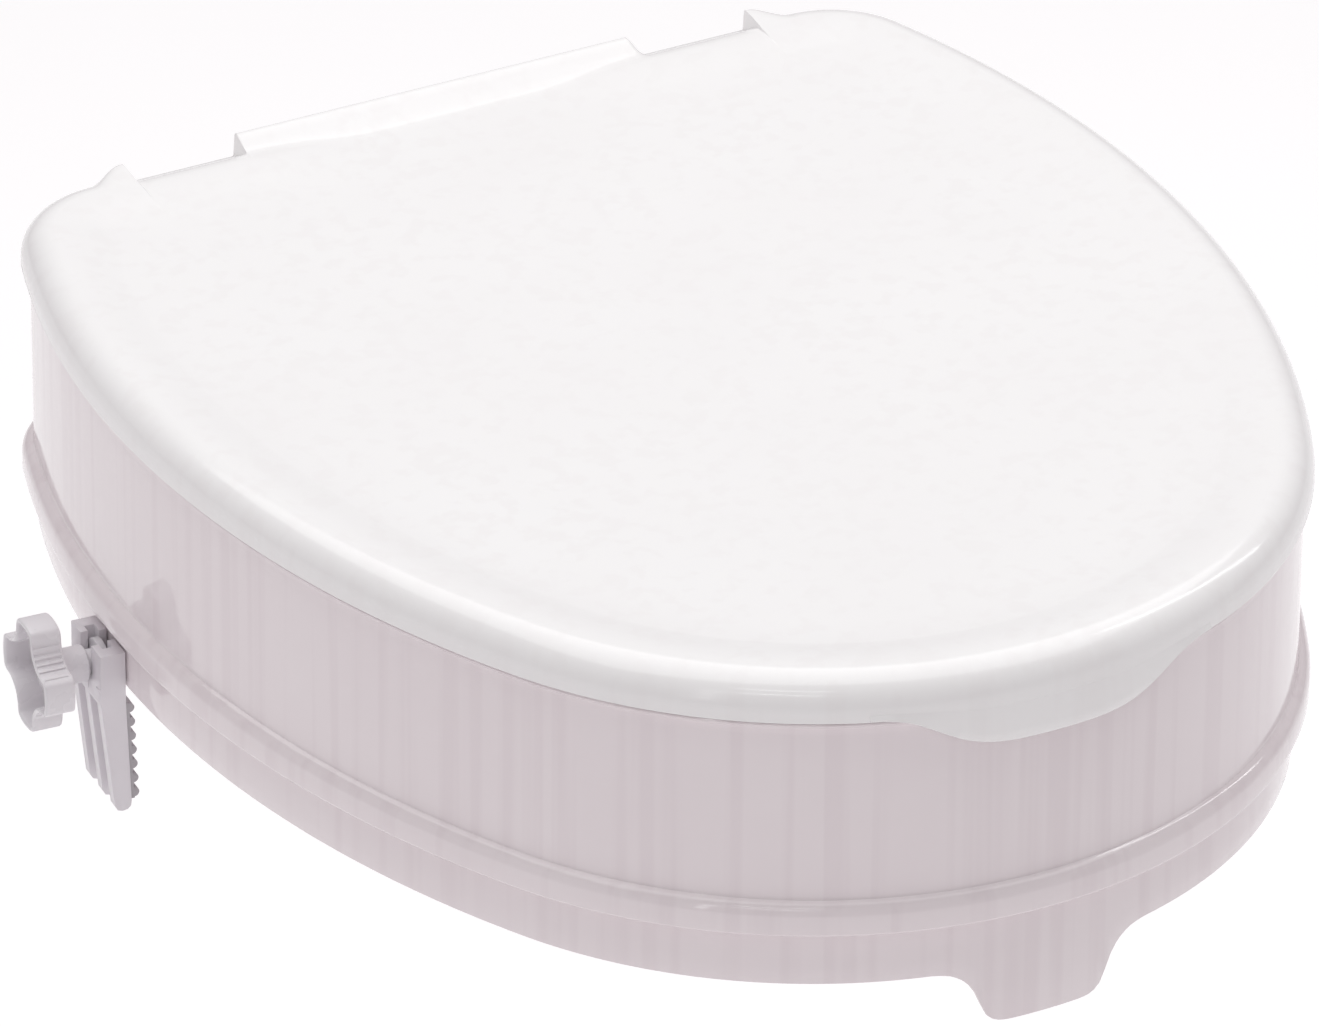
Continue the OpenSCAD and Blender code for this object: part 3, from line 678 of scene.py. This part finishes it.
# The finger lip: a curved tab that hangs under the front edge and flares a little outward.
LIP = [(0, 131.5), (12, 131.5), (17, 131.7), (22, 132.2), (26, 133.0), (30, 134.2), (34, 135.9), (38, 138.0),
       (42, 140.2), (46, 142.2), (50, 143.6), (54, 144.3), (58, 144.6)]
verts, columns = [], 0
for i in range(-44, 45):
    a = radians(i * 0.5)
    low = curve_through(LIP, abs(front_r * sin(a)))
    at = lambda o, z: ((front_r + o) * sin(a), front_c[1] - (front_r + o) * cos(a), z)
    high = 147.2
    span = high - low
    column = [at(1.7, high), at(1.7, low + 0.6 * span), at(1.85, low + 0.25 * span), at(1.95, low + 0.5),
              at(2.3, low + 0.08), at(2.9, low), at(3.5, low + 0.08), at(3.9, low + 0.5)]
    column += [at(3.75, low + 0.25 * span), at(3.35, low + 0.6 * span), at(2.6, high)]
    verts += column
    rows = len(column)
    columns += 1
faces = []
for i in range(columns - 1):
    for k in range(rows):
        m = (k + 1) % rows
        faces.append((i * rows + k, (i + 1) * rows + k, (i + 1) * rows + m, i * rows + m))
faces += [tuple(range(rows))[::-1], tuple((columns - 1) * rows + k for k in range(rows))]
lip = new_piece("finger_lip", verts, faces, crease=50)

# Openings in the rear edge for the two hinge eyes.
EYE_HALF, EYE_ROOM = 6.6, 5.7
cutters = []
for s in (-1, 1):
    x0, x1 = s * BLOCK_X - EYE_HALF, s * BLOCK_X + EYE_HALF
    turns = [radians(a) for a in range(0, 181, 12)]
    ring = [(HINGE_Y + EYE_ROOM * cos(a), HINGE_Z + EYE_ROOM * sin(a)) for a in turns]
    ring += [(HINGE_Y - EYE_ROOM, 149), (REAR_Y - 1.2, 147.5), (REAR_Y - 1.2, 139)]
    ring += [(HINGE_Y + 9, 139), (HINGE_Y + 9, HINGE_Z)]
    cutters.append(prism([(x0, b, c) for b, c in ring], [(x1, b, c) for b, c in ring]))
cut_away(lid, cutters, crease=38)
lid_white = moulded_white("moulded_white_lid", "#fbfafa", "#f8f6f6", 0.15, 0.0)
for piece in (lid, lip):
    piece.data.materials.append(lid_white)
    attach(piece, "lid_body")
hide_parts("lid")

# Hinge barrels on the lid: tubes beside each eye, moulded with the rear edge.
parts = []
for s in (-1, 1):
    for x0, x1 in ((s * BLOCK_X - 21, s * BLOCK_X - EYE_HALF), (s * BLOCK_X + EYE_HALF, s * BLOCK_X + 21)):
        parts.append(lathe(
            lambda a, b, h: (h, HINGE_Y + a, HINGE_Z + b),
            [(2.5, x0), (4.4, x0), (4.8, x0 + 0.5), (4.8, x1 - 0.5), (4.4, x1), (2.5, x1), (2.5, x0)], 56))
barrels = new_piece("hinge_barrels", *gather(parts))
barrels.data.materials.append(lid_white)
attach(barrels, "lid_body")
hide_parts("hinge_rail")

# Ribs under the lid, with their lower corners rounded as moulded ribs are.
eased("lid_ribs", "stiffening_ribs", 0.5, "lid_body", lid_white)

# Bright drawn steel pins, pressed into the barrels, with chamfered ends.
pin_steel = plated_steel("drawn_steel_pin", "#c4c5c8", 0.2, 0.34, (0.05, 1.0, 1.0))
for side, s in (("left", -1), ("right", 1)):
    pin = new_piece("hinge_rod_" + side, *lathe(
        lambda a, b, h: (h, HINGE_Y + a, HINGE_Z + b),
        [(0.01, s * BLOCK_X - 20), (2.1, s * BLOCK_X - 20), (2.5, s * BLOCK_X - 19.6),
         (2.5, s * BLOCK_X + 19.6), (2.1, s * BLOCK_X + 20), (0.01, s * BLOCK_X + 20)], 48))
    pin.data.materials.append(pin_steel)
    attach(pin, "lid_body")
    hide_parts("hinge_pin_" + side)

# Four rubber buffers keep the lid off the seat: round studs with a domed foot.
parts = []
for px, py in [(128, 110), (-128, 110), (92, -138), (-92, -138)]:
    parts.append(lathe(
        lambda u, v, h, px=px, py=py: (px + u, py + v, h),
        [(0.01, 143.4), (3.2, 143.45), (4.8, 143.8), (5.7, 144.7), (6.0, 146.0), (6.0, 148.2), (5.4, 148.8),
         (4.6, 149.0), (4.6, 152.8), (0.01, 152.8)]))
buffers = new_piece("lid_studs", *gather(parts))
buffers.data.materials.append(soft_rubber("rubber_buffer_grey", "#9f9ca0", "#adaaae"))
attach(buffers, "lid_body")
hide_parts("lid_buffers")

# ---- Clamps -----------------------------------------------------------------------------
# One on each side. A nylon bracket hangs from the skirt on two guide pegs, with three
# tapering fins; a ribbed rubber grip on it presses on the outside of the bowl. It is a
# satin moulding, a little greyer than the seat, with edges rounded by half a millimetre.


def satin_plastic(name, tint, shade, rough_low, rough_high):
    # Nylon or acetal from a spark eroded tool: satin, with an even fine texture of about 0.4 mm.
    mat, shader, coords = finish_material(name, **{"IOR": 1.53, "Coat Weight": 0.1, "Coat Roughness": 0.2})
    flow = add(mat, "ShaderNodeTexNoise", [("Vector", coords, "Object")], Scale=1 / 0.012, Detail=3.0)
    mix = add(mat, "ShaderNodeMix", [("Factor", flow, "Fac")], data_type="RGBA")
    mix.inputs[6].default_value, mix.inputs[7].default_value = rgb(shade), rgb(tint)
    wire(mat, shader, "Base Color", mix, 2)
    grain = add(mat, "ShaderNodeTexNoise", [("Vector", coords, "Object")], Scale=1 / 0.0004, Detail=2.0)
    rough = add(mat, "ShaderNodeMapRange", [("Value", flow, "Fac")])
    rough.inputs["To Min"].default_value, rough.inputs["To Max"].default_value = rough_low, rough_high
    wire(mat, shader, "Roughness", rough)
    bump = add(mat, "ShaderNodeBump", [("Height", grain, "Fac")], Strength=0.12, Distance=0.0001)
    wire(mat, shader, "Normal", bump)
    return mat


bracket_white = satin_plastic("satin_nylon_white", "#e6e2e6", "#ded9de", 0.28, 0.4)
knob_white = satin_plastic("satin_knob_white", "#ebe8eb", "#e4e0e4", 0.22, 0.34)
acetal = satin_plastic("acetal_ring_white", "#dcdadd", "#d3d0d4", 0.3, 0.42)
grip_rubber = soft_rubber("rubber_grip_grey", "#b0acb0", "#bcb8bc")
thread_steel = plated_steel("zinc_plated_thread", "#bfc0c3", 0.25, 0.45, (1.0, 1.0, 1.0))


def lobe_radius(phi):
    """Edge of the four lobed knob: a circle with four round bites."""
    r = 19.5
    for k in range(4):
        d = (phi - radians(45 + 90 * k) + pi) % (2 * pi) - pi
        c, bite = 24.0, 10.5
        inside = bite ** 2 - (c * sin(d)) ** 2
        if inside > 0 and abs(d) < pi / 2:
            r = min(r, c * cos(d) - sqrt(inside))
    return r


# The corners between lobes and bites are rounded by averaging neighbours six times.
LOBE_STEPS = 240
lobe_edge = [lobe_radius(2 * pi * i / LOBE_STEPS) for i in range(LOBE_STEPS)]
for _ in range(6):
    after = lobe_edge[1:] + lobe_edge[:1]
    lobe_edge = [(lobe_edge[i - 1] + 2 * lobe_edge[i] + after[i]) / 4 for i in range(LOBE_STEPS)]


def knob_mesh(at):
    """Hollow hand knob: shaft, neck, back, ribbed lobed side, rim, floor and hub."""
    # (how, size, distance out): "r" is a radius, "e" a distance in from the lobed edge.
    shaft = [(0.01, 2.2), (3.9, 2.2), (4.2, 2.5), (4.2, 8.75), (5.7, 8.8), (6.25, 9.4), (6.25, 17.6),
             (6.6, 18.4), (7.6, 18.95)]
    back = [(4.5, 19.0), (1.2, 19.05), (0.35, 19.35), (0.02, 20.0)]
    flank_rows = [(0, 20.6), (0, 22.5), (0, 25), (0, 27.5), (0, 28.8)]
    rim = [(0.05, 29.3), (0.3, 29.65), (0.75, 29.8), (1.25, 29.75), (1.6, 29.4), (1.8, 28.8)]
    floor_rows = [(1.85, 25), (1.9, 21.8), (2.2, 21.2), (3.0, 21.0)]
    hub = [(7.2, 21.0), (6.3, 21.2), (6.05, 21.8), (5.95, 23.2), (5.7, 23.75), (5.1, 24.0), (2.2, 24.0),
           (1.9, 23.6), (0.01, 23.5)]
    rows = [("r", size, u) for size, u in shaft]
    rows += [("e", size, u) for size, u in back + flank_rows + rim + floor_rows]
    rows += [("r", size, u) for size, u in hub]
    verts = []
    for i in range(LOBE_STEPS):
        a = 2 * pi * i / LOBE_STEPS
        e = lobe_edge[i]
        # Grip ribs 0.7 mm deep run across the side, and fade out at the tips of the lobes.
        groove = 0.7 * ease_in((19.2 - e) / 0.6) * (i % 6 < 3)
        for how, size, u in rows:
            r = size if how == "r" else e - size
            if how == "e" and size == 0:
                r -= groove
            verts.append(at(u, r * cos(a), SCREW_Z + r * sin(a)))
    return verts, ring_faces(LOBE_STEPS, len(rows), wrap_rows=False)


def thread_mesh(at):
    """Steel stud of 6 mm with a thread of 2 mm pitch along the part that runs in the nut."""
    verts, steps, pitch = [], 40, 2.0
    inner_end, outer_end = -24, 18.0
    heights = [inner_end + 0.25 * i for i in range(105)] + [2.4, outer_end]
    for i in range(steps):
        a = 2 * pi * i / steps
        verts.append(at(inner_end, 0.01 * cos(a), SCREW_Z + 0.01 * sin(a)))
        for h in heights:
            wave = abs(((h / pitch - a / (2 * pi)) % 1.0) * 2 - 1)
            r = 3.0 - (0.62 * (1 - wave) if h < 2.1 else 0.0)
            if h < inner_end + 0.8:
                r = min(r, 2.3 + (h - inner_end) * 0.8)
            verts.append(at(h, r * cos(a), SCREW_Z + r * sin(a)))
        verts.append(at(outer_end, 0.01 * cos(a), SCREW_Z + 0.01 * sin(a)))
    return verts, ring_faces(steps, len(heights) + 2, wrap_rows=False)


for side in ("left", "right"):
    at = clamp_place(side)
    eased("bracket_" + side, "clamp_bracket_" + side, 0.55, "clamp_" + side, bracket_white)
    eased("grip_" + side, "clamp_grip_" + side, 0.25, "clamp_" + side, grip_rubber)
    eased("nut_" + side, "clamp_nut_" + side, 0.3, "base", zinc)
    # Hand knob with its neck and shaft, the ring that keeps it in the bracket, and its screw.
    turning = "knob_and_screw_" + side
    knob = new_piece("hand_knob_" + side, *knob_mesh(at), crease=40)
    knob.data.materials.append(knob_white)
    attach(knob, turning)
    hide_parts("knob_" + side)
    eased("collar_" + side, "knob_ring_" + side, 0.3, turning, acetal)
    stud = new_piece("clamp_stud_" + side, *thread_mesh(at), crease=50)
    stud.data.materials.append(thread_steel)
    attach(stud, turning)
    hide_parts("screw_" + side)

# ---- Studio -----------------------------------------------------------------------------
# A pale floor that glows a little, a wide soft light overhead, a thin strip at each side
# and two narrow lamps at the front left. The pale room round them is a little rosy near
# the horizon. The seat is seen through a long lens from the front left and above.

FLOOR_HALF, FLOOR_Z = 6, -0.5
corners = [(-1, -1), (1, -1), (1, 1), (-1, 1)]
floor_mesh = bpy.data.meshes.new("studio_floor")
floor_mesh.from_pydata([(FLOOR_HALF * x, FLOOR_HALF * y, FLOOR_Z) for x, y in corners], [], [(0, 1, 2, 3)])
floor = bpy.data.objects.new("studio_floor", floor_mesh)
bpy.context.collection.objects.link(floor)
paper, paper_shader, paper_coords = finish_material("studio_paper", **{
    "Roughness": 0.9, "Specular IOR Level": 0.1, "Emission Color": (1, 1, 1, 1), "Emission Strength": 0.22})
fibre = add(paper, "ShaderNodeTexNoise", [("Vector", paper_coords, "Object")], Scale=1 / 0.4, Detail=2.0)
paper_mix = add(paper, "ShaderNodeMix", [("Factor", fibre, "Fac")], data_type="RGBA")
paper_mix.inputs[6].default_value, paper_mix.inputs[7].default_value = rgb("#fbf9fa"), rgb("#fdfbfc")
wire(paper, paper_shader, "Base Color", paper_mix, 2)
floor.data.materials.append(paper)


def soft_light(name, place, aim, size, power):
    lamp = bpy.data.lights.new(name, "AREA")
    lamp.shape, lamp.size, lamp.size_y, lamp.energy = "RECTANGLE", size[0], size[1], power
    lamp.color = rgb("#ffffff")[:3]
    obj = bpy.data.objects.new(name, lamp)
    bpy.context.collection.objects.link(obj)
    obj.location = place
    obj.rotation_euler = (Vector(aim) - Vector(place)).to_track_quat("-Z", "Y").to_euler()


soft_light("overhead", (0.1, 0.4, 2.3), (0, 0.05, 0.1), (3.6, 2.8), 45)
soft_light("strip_on_the_right", (1.7, 0.0, 1.6), (0.1, 0, 0.1), (0.14, 1.4), 3.5)
soft_light("lamp_in_front_low", (-1.35, -2.0, 1.85), (0, -0.2, 0.08), (0.8, 0.06), 1.6)
soft_light("lamp_in_front_high", (-1.1, -1.65, 2.3), (0, -0.2, 0.08), (0.8, 0.06), 1.6)
soft_light("strip_on_the_left", (-1.7, -1.5, 1.0), (0, -0.1, 0.08), (0.1, 1.4), 1.2)

world = bpy.data.worlds.new("studio_room")
bpy.context.scene.world = world
world.use_nodes = True
sky = world.node_tree
room = sky.nodes["Background"]
direction = sky.nodes.new("ShaderNodeTexCoord")
split = sky.nodes.new("ShaderNodeSeparateXYZ")
sky.links.new(split.inputs[0], direction.outputs["Generated"])
ramp = sky.nodes.new("ShaderNodeValToRGB")
horizon, zenith = ramp.color_ramp.elements
horizon.position, horizon.color = 0.0, rgb("#d9ced4")
zenith.position, zenith.color = 0.75, rgb("#ffffff")
sky.links.new(ramp.inputs[0], split.outputs["Z"])
sky.links.new(room.inputs["Color"], ramp.outputs["Color"])
room.inputs["Strength"].default_value = 0.44

# The camera, placed so that the seat fills the picture from front left and 30 degrees above.
azimuth, elevation, roll = radians(-28.58), radians(30.11), radians(0.42)
aim, distance = Vector((-0.02252, 0.00832, 0.10228)), 4.0046
back = Vector((sin(azimuth) * cos(elevation), -cos(azimuth) * cos(elevation), sin(elevation)))
right = Vector((cos(azimuth), sin(azimuth), 0.0))
up = back.cross(right)
tilted_right = right * cos(roll) + up * sin(roll)
tilted_up = up * cos(roll) - right * sin(roll)
lens = bpy.data.cameras.new("studio_camera")
lens.lens, lens.sensor_width, lens.clip_end = 336.2, 36.0, 100.0
camera = bpy.data.objects.new("studio_camera", lens)
bpy.context.collection.objects.link(camera)
camera.matrix_world = Matrix.Translation(aim + back * distance) @ Matrix((
    (tilted_right.x, tilted_up.x, back.x, 0), (tilted_right.y, tilted_up.y, back.y, 0),
    (tilted_right.z, tilted_up.z, back.z, 0), (0, 0, 0, 1)))
bpy.context.scene.camera = camera
bpy.context.scene.view_settings.view_transform = "Standard"
